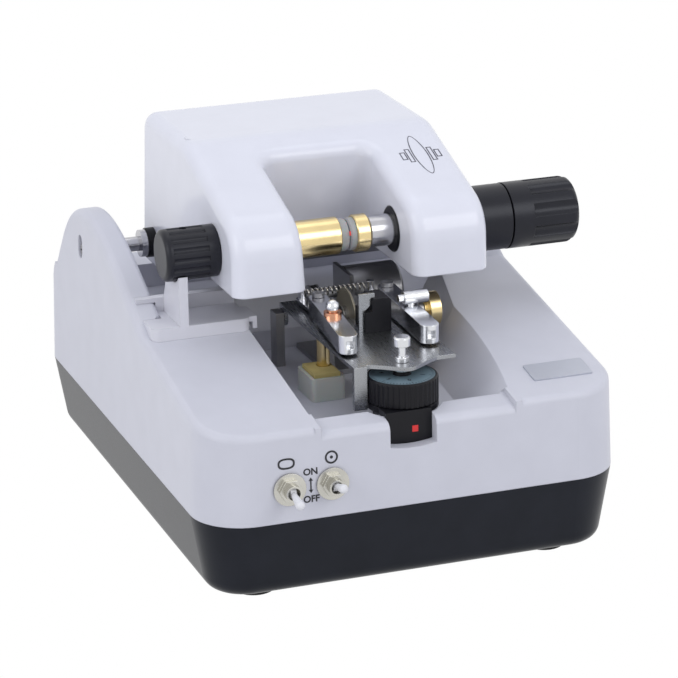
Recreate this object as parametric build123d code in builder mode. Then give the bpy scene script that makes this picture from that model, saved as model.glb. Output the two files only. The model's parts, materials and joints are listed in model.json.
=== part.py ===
# Lens groover: a bench machine that cuts a groove round the edge of a spectacle lens.
# A tilting head holds and turns the lens between two pads, above a small grinding wheel.
# Millimetres, +Z up. Every piece is drawn about the middle of the case on the bench top,
# with +X to the right and +Y to the rear, and is moved to the part's origin when it is saved.

from math import atan, cos, degrees, radians, sin
import os

from build123d import *

os.makedirs("parts", exist_ok=True)

# Case
case_width = 165.0
case_length = 230.0
case_corner = 20.0
case_wall = 2.5
foot_height = 4.0
split_z = 33.5
pan_flare = 9.6
cover_draft = 1.8
front = -case_length / 2
rear = case_length / 2
deck_front_y = front + 1.0
deck_front_z = 67.3
deck_slope = 0.168
deck_angle = degrees(atan(deck_slope))
ear_thick = 12.5
ear_inner = case_width / 2 - ear_thick
screw_grid = (case_width - 25, case_length - 62)
foot_grid = (case_width - 49, case_length - 46)

# Hinge of the head
shaft_end = case_width / 2 - 5.5
hinge_y = 54.0
hinge_z = 92.0
hinge_r = 3.0

# Trough under the hinge and tub round the wheel
trough_half = 66.0
trough_front = 2.0
trough_back = 76.0
trough_floor = 66.0
tub_left = -39.0
tub_right_front = 24.0
tub_right_back = 36.0
tub_front = front + 12.3
tub_floor = 58.0

# The tub's right wall leans outwards: each row is a height, and how far right the wall stands
# there at the front, at the waist and at the back.
tub_waist_y = -37.0
tub_wall = ((tub_floor, tub_right_front, 31.6, tub_right_back), (87.0, 62.5, 47.3, 52.0))

# Sill between the tub and the front face
sill_drop = 2.1
sill_round = 3.0
sill_span = (-38.0, 37.5)

# Lens axis
lens_y = -28.5
lens_z = 111.8
lens_x = 2.6
chuck_r = 7.25
knob_r = 13.0

# Head
head_left = -50.0
head_right = 52.2
head_wall = 2.5
head_bottom = 99.0
recess_lip = 5.0

# Fits: all are radial
running = 0.04
fastener_gap = 0.15
gap = 0.3

# Where the stage, the wheel and the dial are
stage_top = 82.0
stage_thick = 1.5
wheel_z = 79.0
wheel_r = 11.0
motor_y = 0.0
motor_r = 10.5
dial_y = front + 19.5
dial_r = 13.4
dial_bottom = 68.1
dial_top = 77.2
well_floor = 65.3
well_circles = ((0, dial_r + 1.2), (-3.0, dial_r + 1.7))
index_sides = (-11.7, 6.2)
index_foot = 56.3
index_sag = 0.9
index_top = dial_bottom - gap
rest_pegs = ((-70, -24), (-46, -24))
toggle_z = 46.2
toggle_tilt = 12.5
toggle_pivot_y = front - 2.6
toggle_reach = 9.2
toggle_tip_r = 1.7
toggle_tip_y = toggle_pivot_y - toggle_reach * cos(radians(toggle_tilt)) - toggle_tip_r
toggles = (("lens_toggle", -50.9, -toggle_tilt), ("wheel_toggle", -34.5, toggle_tilt))
toggle_face_y = front + 3.3
gland_y = rear + 6.0
gland_x = -48.0
gland_z = 40.5
knob_end = head_right + 43.3


def deck_z(y):
    return deck_front_z + deck_slope * (y - deck_front_y)


def front_y(z):
    return front + (z - split_z) * 0.0314


# The origin is the middle of the whole part's bounding box, at bench level.
shift = Location((-(knob_end - case_width / 2) / 2, -(toggle_tip_y + gland_y) / 2, 0))


def save(solid, name):
    moved = solid.moved(shift)
    moved.label = name
    export_step(moved, "parts/" + name + ".step")


def rod(x0, x1, y, z, radius, bore=0.0):
    """A round bar or tube along X from x0 to x1."""
    with BuildPart() as bar:
        with BuildSketch(Plane.YZ.offset(x0)):
            with Locations((y, z)):
                Circle(radius)
                if bore:
                    Circle(bore, mode=Mode.SUBTRACT)
        extrude(amount=x1 - x0)
    return bar.part


def post(x, y, z0, z1, radius, bore=0.0):
    """A round bar or tube along Z from z0 to z1."""
    with BuildPart() as bar:
        with BuildSketch(Plane.XY.offset(z0)):
            with Locations((x, y)):
                Circle(radius)
                if bore:
                    Circle(bore, mode=Mode.SUBTRACT)
        extrude(amount=z1 - z0)
    return bar.part


def block(x0, x1, y0, y1, z0, z1):
    """A plain block between two corners."""
    with BuildPart() as brick:
        with BuildSketch(Plane.XY.offset(z0)):
            with Locations(((x0 + x1) / 2, (y0 + y1) / 2)):
                Rectangle(x1 - x0, y1 - y0)
        extrude(amount=z1 - z0)
    return brick.part


# Cover: a drafted rounded block, cut along its side profiles. The middle is the sloping
# deck, and an ear rises on each side to carry the hinge shaft.
reach = 0.6 * case_length
rear_fall = -1.4
fall_y = rear - 26.6


def rear_z(y):
    return 84.1 + rear_fall * (y - fall_y)


def cover_form(inset):
    """The outside of the cover, or with an inset its inside."""
    back = 0.5 * inset
    left_foot = -32.0 + inset
    right_foot = 0.0 + inset
    with BuildPart() as outline:
        with BuildSketch(Plane.YZ):
            with BuildLine():
                Polyline((-reach, 0), (-reach, deck_z(-reach) - inset),
                         (trough_front, deck_z(trough_front) - inset), (trough_back - back, 76 - inset),
                         (fall_y + 5.8 - back, 76 - inset), (reach - back, rear_z(reach) - inset), (reach, 0),
                         close=True)
            make_face()
        extrude(amount=case_width, both=True)
        with BuildSketch(Plane.YZ.offset(-ear_inner - inset)):
            with BuildLine():
                Line((left_foot, 0), (left_foot, deck_z(left_foot) - inset))
                Spline((left_foot, deck_z(left_foot) - inset), (6, 98.5 - inset), (48, 109 - inset),
                       (fall_y - 15.4 - back, 101.5 - inset), (fall_y - back, 84.1 - inset),
                       tangents=((1, 0.5), (1, rear_fall)))
                Polyline((fall_y - back, 84.1 - inset), (reach - back, rear_z(reach) - inset), (reach, 0),
                         (left_foot, 0))
            make_face()
        extrude(amount=-case_width)
        with BuildSketch(Plane.YZ.offset(ear_inner + inset)):
            with BuildLine():
                Line((right_foot, 0), (right_foot, deck_z(right_foot) - inset))
                Spline((right_foot, deck_z(right_foot) - inset), (22, 98.5 - inset), (48, 104.5 - inset),
                       (fall_y - 18.4 - back, 98.5 - inset),
                       (fall_y - 2.4 - back, rear_z(fall_y - 2.4) - inset),
                       tangents=((1, 0.5), (1, rear_fall)))
                Polyline((fall_y - 2.4 - back, rear_z(fall_y - 2.4) - inset),
                         (reach - back, rear_z(reach) - inset), (reach, 0), (right_foot, 0))
            make_face()
        extrude(amount=case_width)
    with BuildPart() as form:
        with BuildSketch(Plane.XY.offset(split_z)):
            RectangleRounded(case_width - 2 * inset, case_length - 2 * inset, case_corner - inset)
        extrude(amount=90, taper=cover_draft)
        add(outline.part, mode=Mode.INTERSECT)
    return form.part


def index_outline(margin, top):
    """The front view of the index block: square shoulders and a slightly round foot."""
    left, right = index_sides[0] - margin, index_sides[1] + margin
    foot = index_foot - margin
    with BuildSketch() as outline:
        with BuildLine():
            Polyline((right, foot), (right, top), (left, top), (left, foot))
            ThreePointArc((left, foot), ((left + right) / 2, foot - index_sag), (right, foot))
        make_face()
    return outline.sketch


def sill_form(margin):
    """The room above the sill in front of the tub, which rolls over into the front face."""
    bend = sill_round - margin
    edge_y = front_y(deck_front_z - sill_drop - sill_round) + margin
    edge_z = deck_z(edge_y + bend) - sill_drop - margin
    back_y = tub_front + 1
    out_y, top = front - 5, 110
    with BuildPart() as form:
        with BuildSketch(Plane.YZ.offset(sill_span[0] - margin)):
            with BuildLine():
                Line((back_y, deck_z(back_y) - sill_drop - margin), (edge_y + bend, edge_z))
                TangentArc((edge_y + bend, edge_z), (edge_y, edge_z - bend), tangent=(-1, -deck_slope))
                Polyline((edge_y, edge_z - bend), (out_y, edge_z - bend), (out_y, top), (back_y, top),
                         (back_y, deck_z(back_y) - sill_drop - margin))
            make_face()
        extrude(amount=sill_span[1] - sill_span[0] + 2 * margin)
    return form.part


# The tub, the trough behind it, the sill and the round notch for the dial, grown by a margin.
def tub_form(margin):
    top = 130.0
    with BuildPart() as form:
        with BuildSketch(Plane.XY.offset(tub_floor - margin)):
            with BuildLine():
                Polyline((tub_left - margin, tub_front - margin),
                         (tub_right_front + margin, tub_front - margin),
                         (tub_right_back + margin, trough_front + margin + 1),
                         (tub_left - margin, trough_front + margin + 1), close=True)
            make_face()
        extrude(amount=top - tub_floor)
        for z, x_front, x_waist, x_back in tub_wall:
            with BuildSketch(Plane.XY.offset(z)):
                with BuildLine():
                    Polyline((tub_left, tub_front - margin), (x_front + margin, tub_front - margin),
                             (x_waist + margin, tub_waist_y), (x_back + margin, trough_front + 1),
                             (tub_left, trough_front + 1), close=True)
                make_face()
        loft(ruled=True)
        with BuildSketch(Plane.XY.offset(trough_floor - margin)):
            with Locations((0, (trough_front + trough_back) / 2)):
                Rectangle(2 * (trough_half + margin), trough_back - trough_front + 2 * margin)
        extrude(amount=top - trough_floor)
        with BuildSketch(Plane.XY.offset(well_floor - margin)):
            for x, radius in well_circles:
                with Locations((x, dial_y)):
                    Circle(radius + margin)
        extrude(amount=top - well_floor)
        with BuildSketch(Plane.XZ.offset(-dial_y)):
            add(index_outline(0.05 + margin, 96))
        extrude(amount=dial_y - front + 5)
        add(sill_form(margin))
    return form.part


outer_form = cover_form(0)
inner_form = cover_form(case_wall)

with BuildPart() as cover_bosses:
    with BuildSketch(Plane.XY.offset(split_z)):
        with GridLocations(*screw_grid, 2, 2):
            Circle(4.5)
    extrude(amount=60)
    for side in (-1, 1):
        add(rod(side * (ear_inner + 0.2), side * (case_width / 2 - 1.5), hinge_y, hinge_z, 6.5))
    add(tub_form(case_wall))
    add(outer_form, mode=Mode.INTERSECT)

with BuildPart() as upper_cover:
    add(outer_form)
    fillet(upper_cover.edges().filter_by(
        lambda e: abs(e.center().X) > case_width / 2 - 8.5 and e.center().Z > 66 and e.length > 12), 3)
    fillet(upper_cover.edges().filter_by(
        lambda e: abs(abs(e.center().X) - ear_inner) < 0.1 and e.center().Z > 90 and e.length > 60), 2)
    add(inner_form, mode=Mode.SUBTRACT)
    add(cover_bosses.part)
    add(tub_form(0), mode=Mode.SUBTRACT)
    for side in (-1, 1):
        add(rod(side * (ear_inner - 1), side * (shaft_end + 1), hinge_y, hinge_z, hinge_r + running),
            mode=Mode.SUBTRACT)
        with BuildSketch(Plane.YZ.offset(side * shaft_end)):
            with Locations((hinge_y, hinge_z + 1.5)):
                SlotOverall(9.5, 5.6, rotation=90)
        extrude(amount=side * 8, mode=Mode.SUBTRACT)
    with BuildSketch(Plane.XZ.offset(-front - 15)):
        with Locations(*[(x, toggle_z) for _, x, _ in toggles]):
            Circle(3.0 + fastener_gap)
    extrude(amount=20, mode=Mode.SUBTRACT)
    with BuildSketch(Plane.XZ.offset(15 - rear)):
        with Locations((gland_x, gland_z)):
            Circle(5.0 + fastener_gap)
    extrude(amount=-20, mode=Mode.SUBTRACT)
    with BuildSketch(Plane.XY.offset(split_z)):
        with GridLocations(*screw_grid, 2, 2):
            Circle(1.5)
    extrude(amount=14, mode=Mode.SUBTRACT)
    with BuildSketch(Plane.XY.offset(70)):
        with Locations(*rest_pegs):
            Circle(2.5 + fastener_gap)
    extrude(amount=20, mode=Mode.SUBTRACT)
save(upper_cover.part, "upper_cover")

# Base pan: flares upwards to the split line.
pan_height = split_z - foot_height
with BuildPart() as base_pan:
    with BuildSketch(Plane.XY.offset(split_z)):
        RectangleRounded(case_width, case_length, case_corner)
    extrude(amount=-pan_height, taper=pan_flare)
    fillet(base_pan.faces().sort_by(Axis.Z)[0].edges(), 6)
    with BuildSketch(Plane.XY.offset(split_z)):
        RectangleRounded(case_width - 2 * case_wall, case_length - 2 * case_wall, case_corner - case_wall)
    extrude(amount=-(pan_height - case_wall), taper=pan_flare, mode=Mode.SUBTRACT)
    with BuildSketch(Plane.XY.offset(foot_height)):
        with GridLocations(*screw_grid, 2, 2):
            Circle(4.5)
    extrude(amount=pan_height)
    with BuildSketch(Plane.XY.offset(foot_height)):
        with GridLocations(*screw_grid, 2, 2):
            Circle(1.5 + fastener_gap)
        with GridLocations(*foot_grid, 2, 2):
            Circle(3.0)
    extrude(amount=pan_height, mode=Mode.SUBTRACT)
    with BuildSketch(Plane.XY.offset(foot_height)):
        with GridLocations(*screw_grid, 2, 2):
            Circle(3.2)
    extrude(amount=5, mode=Mode.SUBTRACT)
    with BuildSketch(Plane.XY.offset(foot_height)):
        with Locations((45, 0)):
            with GridLocations(40, 90, 2, 2):
                Circle(3)
        with Locations((-38, 55)):
            with GridLocations(54, 36, 2, 2):
                Circle(3)
    extrude(amount=8)
save(base_pan.part, "base_pan")

with BuildPart() as rubber_feet:
    with BuildSketch():
        with GridLocations(*foot_grid, 2, 2):
            Circle(8)
    extrude(amount=foot_height)
    fillet(rubber_feet.faces().sort_by(Axis.Z)[:4].edges(), 1)
    with BuildSketch(Plane.XY.offset(foot_height)):
        with GridLocations(*foot_grid, 2, 2):
            Circle(3.0)
    extrude(amount=case_wall)
save(rubber_feet.part, "rubber_feet")

with BuildPart() as case_screws:
    with BuildSketch(Plane.XY.offset(foot_height + 2)):
        with GridLocations(*screw_grid, 2, 2):
            Circle(2.9)
            RegularPolygon(1.2, 6, mode=Mode.SUBTRACT)
    extrude(amount=1.2)
    with BuildSketch(Plane.XY.offset(foot_height + 3.2)):
        with GridLocations(*screw_grid, 2, 2):
            Circle(2.9)
    extrude(amount=1.8)
    with BuildSketch(Plane.XY.offset(foot_height + 5)):
        with GridLocations(*screw_grid, 2, 2):
            Circle(1.5)
    extrude(amount=34)
save(case_screws.part, "case_screws")

# White rest on the left deck, with a cradle for the left knob.
rest_front = -36.0
rest_back = -11.0
rest_top = 85.5
with BuildPart() as knob_rest_bracket:
    with BuildSketch(Plane.YZ.offset(-77.5)):
        with BuildLine():
            Polyline((rest_front, deck_z(rest_front)), (rest_front, rest_top), (-15, rest_top), (-15, 91),
                     (rest_back, 91), (rest_back, deck_z(rest_back)), close=True)
        make_face()
    extrude(amount=39)
    fillet(knob_rest_bracket.edges().filter_by(Axis.Z).group_by(Axis.Y)[0], 3)
    with BuildSketch(Plane.YZ.offset(-66.7)):
        with BuildLine():
            Polyline((-36, rest_top), (-36, 105.5), (-22, 105.5), (-15, 91), (-15, rest_top), close=True)
        make_face()
    extrude(amount=3.7)
    add(rod(-80, -50, lens_y, lens_z, 10.0 + gap), mode=Mode.SUBTRACT)
    with BuildSketch(Plane.XZ.offset(21.5)):
        with BuildLine():
            Polyline((-44, rest_top - 2), (-44, rest_top), (-35.6, rest_top), (-35.6, 78), (-37.4, 78),
                     (-37.4, rest_top - 2), close=True)
        make_face()
    extrude(amount=12.8)
    add(outer_form, mode=Mode.SUBTRACT)
    with BuildSketch(Plane.XY.offset(76)):
        with Locations(*rest_pegs):
            Circle(2.5)
    extrude(amount=9)
save(knob_rest_bracket.part, "knob_rest_bracket")

# Hinge shaft, held between the ears by a screw in each end.
with BuildPart() as hinge_shaft:
    add(rod(-shaft_end, shaft_end, hinge_y, hinge_z, hinge_r))
    for side in (-1, 1):
        add(rod(side * (shaft_end - 8), side * shaft_end, hinge_y, hinge_z, 1.25), mode=Mode.SUBTRACT)
save(hinge_shaft.part, "hinge_shaft")

with BuildPart() as hinge_shaft_screws:
    for side in (-1, 1):
        add(rod(side * (shaft_end - 7.5), side * shaft_end, hinge_y, hinge_z, 1.25))
        add(rod(side * shaft_end, side * (shaft_end + 3), hinge_y, hinge_z, 2.3))
        with BuildSketch(Plane.YZ.offset(side * (shaft_end + 3))):
            with Locations((hinge_y, hinge_z)):
                Rectangle(4.2, 0.7)
        extrude(amount=-side * 0.8, mode=Mode.SUBTRACT)
save(hinge_shaft_screws.part, "hinge_shaft_screws")

with BuildPart() as hinge_collars:
    add(rod(head_left - 6.2, head_left - 3.8, hinge_y, hinge_z, 5.5, hinge_r))
    add(rod(head_right + 3.8, head_right + 6.2, hinge_y, hinge_z, 5.5, hinge_r))
save(hinge_collars.part, "hinge_collars")

with BuildPart() as hinge_bushes:
    for face, side in ((head_left, -1), (head_right, 1)):
        add(rod(face, face + side * 3.5, hinge_y, hinge_z, 6, hinge_r + running))
        add(rod(face - side * 4, face, hinge_y, hinge_z, 4.5, hinge_r + running))
save(hinge_bushes.part, "hinge_bushes")


# Head: a hollow shell with two arms, drawn as a side profile and cut by the recess.
def head_form(inset):
    with BuildPart() as form:
        with BuildSketch(Plane.YZ.offset(head_left + inset)) as profile:
            with BuildLine():
                Polyline((-53.4 + inset, head_bottom), (-53.4 + inset, 124.2 - 0.7 * inset),
                         (7, 144.3 - inset), (65 - inset, 144.3 - inset), (72.6 - inset, 87),
                         (70 - inset, 82), (38, 82), (28, head_bottom), close=True)
            make_face()
            corners = profile.vertices()
            nose = corners.sort_by_distance((-53.4 + inset, 124.2, 0))[0]
            fillet(nose, 17 - inset)
            bend = profile.vertices().sort_by_distance((7, 144.3 - inset, 0))[0]
            fillet(bend, 25)
            rear_corner = profile.vertices().sort_by_distance((65 - inset, 144.3 - inset, 0))[0]
            fillet(rear_corner, 8 - inset)
        extrude(amount=head_right - head_left - 2 * inset)
    return form.part


def recess_form(margin):
    """The room for the lens between the arms. Its back leans away from the lens as it goes down."""
    with BuildPart() as form:
        with BuildSketch(Plane.XZ.offset(-20)):
            with BuildLine():
                Polyline((-20 - margin, 80), (-24.5 - margin, 160), (20.5 + margin, 160),
                         (22.2 + margin, 80), close=True)
            make_face()
        extrude(amount=100)
        with BuildSketch(Plane.YZ.offset(-40)):
            with BuildLine():
                Polyline((-90, 70), (-90, 170), (-12 + margin, 170), (9 + margin, 70), close=True)
            make_face()
        extrude(amount=80, mode=Mode.INTERSECT)
        fillet(form.edges().filter_by(lambda e: e.center().Y > -10 and abs(e.center().X) > 15
                                      and e.length > 60), 6 + margin)
    return form.part


plate_thick = 1.5
head_boss_spots = ((-30, -44), (44, -44), (-44, 15), (44, 15))
head_outer = head_form(0)


def on_lip(edge):
    """True where the room for the lens meets the top or the front of the head."""
    middle = edge.position_at(0.5)
    if abs(middle.X) > 26 or middle.Y > 5 or middle.Z < head_bottom + 0.5:
        return False
    return min(face.distance_to(Vertex(middle)) for face in head_outer.faces()) < 0.02


with BuildPart() as head_bosses:
    for x, y in head_boss_spots:
        add(post(x, y, head_bottom + plate_thick, 150, 3.2))
    add(head_outer, mode=Mode.INTERSECT)

with BuildPart() as head_hollow:
    add(head_form(head_wall))
    add(block(head_left + head_wall, head_right - head_wall, -50.9, 28, 90, head_bottom + 1))
    add(block(head_left + head_wall, head_right - head_wall, 27, 67.5, 76, head_bottom + 1))
    add(recess_form(head_wall), mode=Mode.SUBTRACT)

with BuildPart() as head_shell:
    add(head_outer)
    fillet(head_shell.edges().filter_by(
        lambda e: (abs(e.center().X - head_left) < 0.1 or abs(e.center().X - head_right) < 0.1)
        and (e.center().Z > head_bottom + 1 or e.center().Y < -52)), 5)
    add(recess_form(0), mode=Mode.SUBTRACT)
    fillet(head_shell.edges().filter_by(on_lip), recess_lip)
    add(head_hollow.part, mode=Mode.SUBTRACT)
    add(head_bosses.part)
    for x, y in head_boss_spots:
        add(post(x, y, head_bottom - 1, head_bottom + 14, 1.25), mode=Mode.SUBTRACT)
    add(rod(head_left - 1, head_left + 3, hinge_y, hinge_z, 4.5), mode=Mode.SUBTRACT)
    add(rod(head_right - 3, head_right + 1, hinge_y, hinge_z, 4.5), mode=Mode.SUBTRACT)
    add(rod(head_left - 1, head_left + 3, lens_y, lens_z, 6), mode=Mode.SUBTRACT)
    add(rod(-28, -18, lens_y, lens_z, 6), mode=Mode.SUBTRACT)
    add(rod(15, 30, lens_y, lens_z, 9), mode=Mode.SUBTRACT)
    add(rod(head_right - 3, head_right + 1, lens_y, lens_z, 9), mode=Mode.SUBTRACT)
save(head_shell.part, "head_shell")

# Steel plate that closes the head from below, bent down round the hinge.
with BuildPart() as head_base_plate:
    with BuildSketch(Plane.YZ.offset(head_left + head_wall + 0.05)):
        with BuildLine():
            Polyline((-50.8, head_bottom), (28, head_bottom), (38, 82), (67.4, 82), (67.4, 83.5),
                     (38.8, 83.5), (28.8, head_bottom + plate_thick), (-50.8, head_bottom + plate_thick),
                     close=True)
        make_face()
    extrude(amount=head_right - head_left - 2 * head_wall - 0.1)
    add(recess_form(head_wall + 0.05), mode=Mode.SUBTRACT)
    for x, y in head_boss_spots:
        add(post(x, y, head_bottom - 1, head_bottom + 3, 1.25 + fastener_gap), mode=Mode.SUBTRACT)
save(head_base_plate.part, "head_base_plate")

with BuildPart() as head_screws:
    for x, y in head_boss_spots:
        add(post(x, y, head_bottom - 1.6, head_bottom, 2.5))
        add(post(x, y, head_bottom, head_bottom + 12, 1.25))
save(head_screws.part, "head_screws")

# Lens spindle: knob, shaft with belt pulley, brass chuck and pad turn together.
lens_pulley_r = 8.0
lens_motor_y = 30.0
lens_motor_z = 118.0
lens_motor_pulley_r = 4.0
belt_left = -38.6
belt_width = 3.2
shaft_r = 4.0

with BuildPart() as lens_spindle:
    add(rod(-69, -14, lens_y, lens_z, shaft_r))
    add(rod(-40.2, -39.0, lens_y, lens_z, lens_pulley_r + 1.4))
    add(rod(-39.0, -35.0, lens_y, lens_z, lens_pulley_r))
    add(rod(-35.0, -33.8, lens_y, lens_z, lens_pulley_r + 1.4))
save(lens_spindle.part, "lens_spindle")

with BuildPart() as left_knob:
    add(rod(-71.3, -50.3, lens_y, lens_z, 10))
    fillet(left_knob.faces().sort_by(Axis.X)[0].edges(), 2)
    with BuildSketch(Plane.YZ.offset(-68.5)):
        with Locations((lens_y, lens_z)):
            with PolarLocations(10.7, 16):
                Circle(1.3)
    extrude(amount=14, mode=Mode.SUBTRACT)
    add(rod(-69, -50, lens_y, lens_z, shaft_r), mode=Mode.SUBTRACT)
    with BuildSketch(Plane.XY.offset(lens_z + 3)):
        with Locations((-62, lens_y)):
            Circle(1.5)
    extrude(amount=10, mode=Mode.SUBTRACT)
save(left_knob.part, "left_knob")

with BuildPart() as left_knob_screw:
    add(post(-62, lens_y, lens_z + shaft_r, lens_z + shaft_r + 4.5, 1.5))
    with BuildSketch(Plane.XY.offset(lens_z + shaft_r + 4.5)):
        with Locations((-62, lens_y)):
            RegularPolygon(0.8, 6)
    extrude(amount=-2, mode=Mode.SUBTRACT)
save(left_knob_screw.part, "left_knob_screw")

with BuildPart() as left_chuck:
    add(rod(-19.5, lens_x - 3.5, lens_y, lens_z, chuck_r))
    chamfer(left_chuck.edges(), 0.4)
    add(rod(-19.5, -14, lens_y, lens_z, shaft_r), mode=Mode.SUBTRACT)
save(left_chuck.part, "left_chuck")

with BuildPart() as left_pad:
    add(rod(lens_x - 3.5, lens_x - 0.2, lens_y, lens_z, 6.3))
    chamfer(left_pad.faces().sort_by(Axis.X)[-1].edges(), 0.6)
save(left_pad.part, "left_pad")

with BuildPart() as spindle_bushes:
    add(rod(head_left, head_left + 4.5, lens_y, lens_z, 6, shaft_r + running))
    add(rod(-27.5, -22.0, lens_y, lens_z, 6, shaft_r + running))
save(spindle_bushes.part, "spindle_bushes")


def belt(x, width, y0, z0, r0, y1, z1, r1, thick):
    """A flat belt running round two pulleys whose axes lie along X."""
    with BuildPart() as loop:
        for grow, mode in ((thick, Mode.ADD), (0, Mode.SUBTRACT)):
            with BuildSketch(Plane.YZ.offset(x)):
                with Locations((y0, z0)):
                    Circle(r0 + grow)
                with Locations((y1, z1)):
                    Circle(r1 + grow)
                make_hull()
            extrude(amount=width, mode=mode)
    return loop.part


save(belt(belt_left, belt_width, lens_y, lens_z, lens_pulley_r + 0.05,
          lens_motor_y, lens_motor_z, lens_motor_pulley_r + 0.05, 1.1), "drive_belt")

# Gear motor in the head, on a plate that stands on the base plate.
with BuildPart() as lens_motor:
    add(rod(-30, 12, lens_motor_y, lens_motor_z, 12.5))
    add(block(-31.5, -30, 17.5, 42.5, 104, 131))
    add(block(-31.5, -30, 14, 28, head_bottom + plate_thick, 106))
    add(block(-31.5, -22, 14, 24, head_bottom + plate_thick, head_bottom + plate_thick + 1.5))
    add(rod(-33, -30, lens_motor_y, lens_motor_z, 3.5))
    add(rod(-34, -24, lens_motor_y, lens_motor_z, 1.5 + running), mode=Mode.SUBTRACT)
save(lens_motor.part, "lens_motor")

with BuildPart() as lens_motor_pulley:
    add(rod(-41, -24.5, lens_motor_y, lens_motor_z, 1.5))
    add(rod(-40.2, -39.0, lens_motor_y, lens_motor_z, lens_motor_pulley_r + 1.4))
    add(rod(-39.0, -35.0, lens_motor_y, lens_motor_z, lens_motor_pulley_r))
    add(rod(-35.0, -33.8, lens_motor_y, lens_motor_z, lens_motor_pulley_r + 1.4))
save(lens_motor_pulley.part, "lens_motor_pulley")

# Clamping side: the knob's screw drives the quill, and the right chuck turns in the quill.
quill_r = 6.15
quill_front = lens_x + 8.6
bush_front = 20.9
screw_r = 3.5
stub_r = 2.5
with BuildPart() as quill_bush:
    add(rod(bush_front, 30, lens_y, lens_z, 9, quill_r + running))
    chamfer(quill_bush.faces().sort_by(Axis.X)[0].edges().sort_by(SortBy.RADIUS)[-1], 0.6)
save(quill_bush.part, "quill_bush")

with BuildPart() as clamp_collar:
    add(rod(head_right, head_right + 14.8, lens_y, lens_z, 12.85))
    fillet(clamp_collar.edges().sort_by(Axis.X)[0], 1.5)
    add(rod(head_right - 5.5, head_right, lens_y, lens_z, 9))
    add(rod(head_right - 6.5, head_right + 15, lens_y, lens_z, quill_r + running), mode=Mode.SUBTRACT)
save(clamp_collar.part, "clamp_collar")

with BuildPart() as quill_shaft:
    add(rod(quill_front, 54, lens_y, lens_z, quill_r))
    chamfer(quill_shaft.edges(), 0.3)
    add(rod(quill_front, quill_front + 7.6, lens_y, lens_z, stub_r + running), mode=Mode.SUBTRACT)
    add(rod(24, 54, lens_y, lens_z, screw_r + running), mode=Mode.SUBTRACT)
save(quill_shaft.part, "quill_shaft")

flutes = 9
with BuildPart() as clamp_knob:
    add(rod(head_right + 15.4, knob_end, lens_y, lens_z, knob_r))
    fillet(clamp_knob.faces().sort_by(Axis.X)[-1].edges(), 3)
    with BuildSketch(Plane.YZ.offset(head_right + 24)):
        with Locations((lens_y, lens_z)):
            with PolarLocations(knob_r + 2.2, flutes):
                Circle(3.6)
    extrude(amount=30, mode=Mode.SUBTRACT)
    add(rod(head_right + 13, head_right + 15.4, lens_y, lens_z, 5))
    add(rod(38, head_right + 13, lens_y, lens_z, screw_r))
save(clamp_knob.part, "clamp_knob")

with BuildPart() as right_chuck:
    add(rod(lens_x + 2.8, quill_front - 0.3, lens_y, lens_z, chuck_r))
    chamfer(right_chuck.edges(), 0.4)
    add(rod(quill_front - 0.3, quill_front + 7, lens_y, lens_z, stub_r))
save(right_chuck.part, "right_chuck")

with BuildPart() as right_pad:
    add(rod(lens_x + 0.2, lens_x + 2.8, lens_y, lens_z, 6.3))
    chamfer(right_pad.faces().sort_by(Axis.X)[0].edges(), 0.6)
save(right_pad.part, "right_pad")

# Wheel unit on the tub floor: two bearing posts and the motor plate on one base.
bracket_thick = 2.0
wheel_spindle_r = 2.5
wheel_pulley_r = 3.0
motor_pulley_r = 3.4
motor_left = 12.0
motor_right = 33.5
pulley_left = -3.2
with BuildPart() as wheel_bracket:
    add(block(-8, 26, -36, 1.6, tub_floor, tub_floor + bracket_thick))
    for x0, x1 in ((-8, -4), (6, 10)):
        add(block(x0, x1, lens_y - 3.8, lens_y + 3.8, tub_floor, wheel_z))
        add(rod(x0, x1, lens_y, wheel_z, 3.8))
    add(block(10.4, motor_left, -11, 1.6, tub_floor, 89))
    add(block(10.4, motor_left, 1.6, 9, trough_floor + 0.5, 89))
    add(rod(-8.5, 10.5, lens_y, wheel_z, wheel_spindle_r + running), mode=Mode.SUBTRACT)
    add(rod(10, 13, motor_y, wheel_z, 3), mode=Mode.SUBTRACT)
save(wheel_bracket.part, "wheel_bracket")

with BuildPart() as wheel_motor:
    add(rod(motor_left, motor_right, motor_y, wheel_z, motor_r))
    chamfer(wheel_motor.faces().sort_by(Axis.X)[-1].edges(), 1)
    add(rod(11, 24, motor_y, wheel_z, 1.5 + running), mode=Mode.SUBTRACT)
save(wheel_motor.part, "wheel_motor")

with BuildPart() as wheel_motor_pulley:
    add(rod(pulley_left - 0.8, 23, motor_y, wheel_z, 1.5))
    add(rod(pulley_left, pulley_left + 0.7, motor_y, wheel_z, motor_pulley_r + 1.1))
    add(rod(pulley_left + 0.7, pulley_left + 3.3, motor_y, wheel_z, motor_pulley_r))
    add(rod(pulley_left + 3.3, pulley_left + 4, motor_y, wheel_z, motor_pulley_r + 1.1))
save(wheel_motor_pulley.part, "wheel_motor_pulley")

with BuildPart() as wheel_spindle:
    add(rod(-8.4, 10.4, lens_y, wheel_z, wheel_spindle_r))
    add(rod(pulley_left, pulley_left + 0.7, lens_y, wheel_z, wheel_pulley_r + 1.1))
    add(rod(pulley_left + 0.7, pulley_left + 3.3, lens_y, wheel_z, wheel_pulley_r))
    add(rod(pulley_left + 3.3, pulley_left + 4, lens_y, wheel_z, wheel_pulley_r + 1.1))
    add(rod(lens_x - 1.6, lens_x + 2.4, lens_y, wheel_z, 4))
save(wheel_spindle.part, "wheel_spindle")

save(rod(lens_x - 0.4, lens_x + 0.4, lens_y, wheel_z, wheel_r, 4), "grinding_wheel")
save(belt(pulley_left + 0.9, 2.2, lens_y, wheel_z, wheel_pulley_r + 0.05,
          motor_y, wheel_z, motor_pulley_r + 0.05, 0.8), "wheel_belt")

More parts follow.
